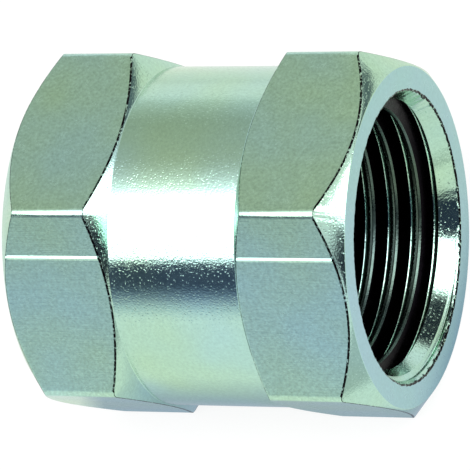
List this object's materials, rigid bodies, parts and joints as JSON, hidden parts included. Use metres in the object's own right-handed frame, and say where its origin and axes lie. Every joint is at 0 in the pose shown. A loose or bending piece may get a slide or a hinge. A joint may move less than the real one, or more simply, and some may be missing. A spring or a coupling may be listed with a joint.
{
  "type": "threaded socket",
  "caption": "Short plated pipe coupling turned from hexagon bar: a chamfered hexagon at each end, a round neck between them, and a female pipe thread right through.",
  "frame": {"origin": "half way along the axis of the bore, which is also the centre of the overall box", "axes": "+X along the bore, towards the mouth seen at the right of the picture; +Z square to the flat that faces up; +Y across two corners of the hexagon"},
  "size_m": [0.0264, 0.0286, 0.025],
  "materials": {
    "bright_plating": "bright satin plating over drawn and turned metal, with a faint cool green cast"
  },
  "bodies": {
    "root": {"hex_socket": "bright_plating"}
  },
  "joints": []
}
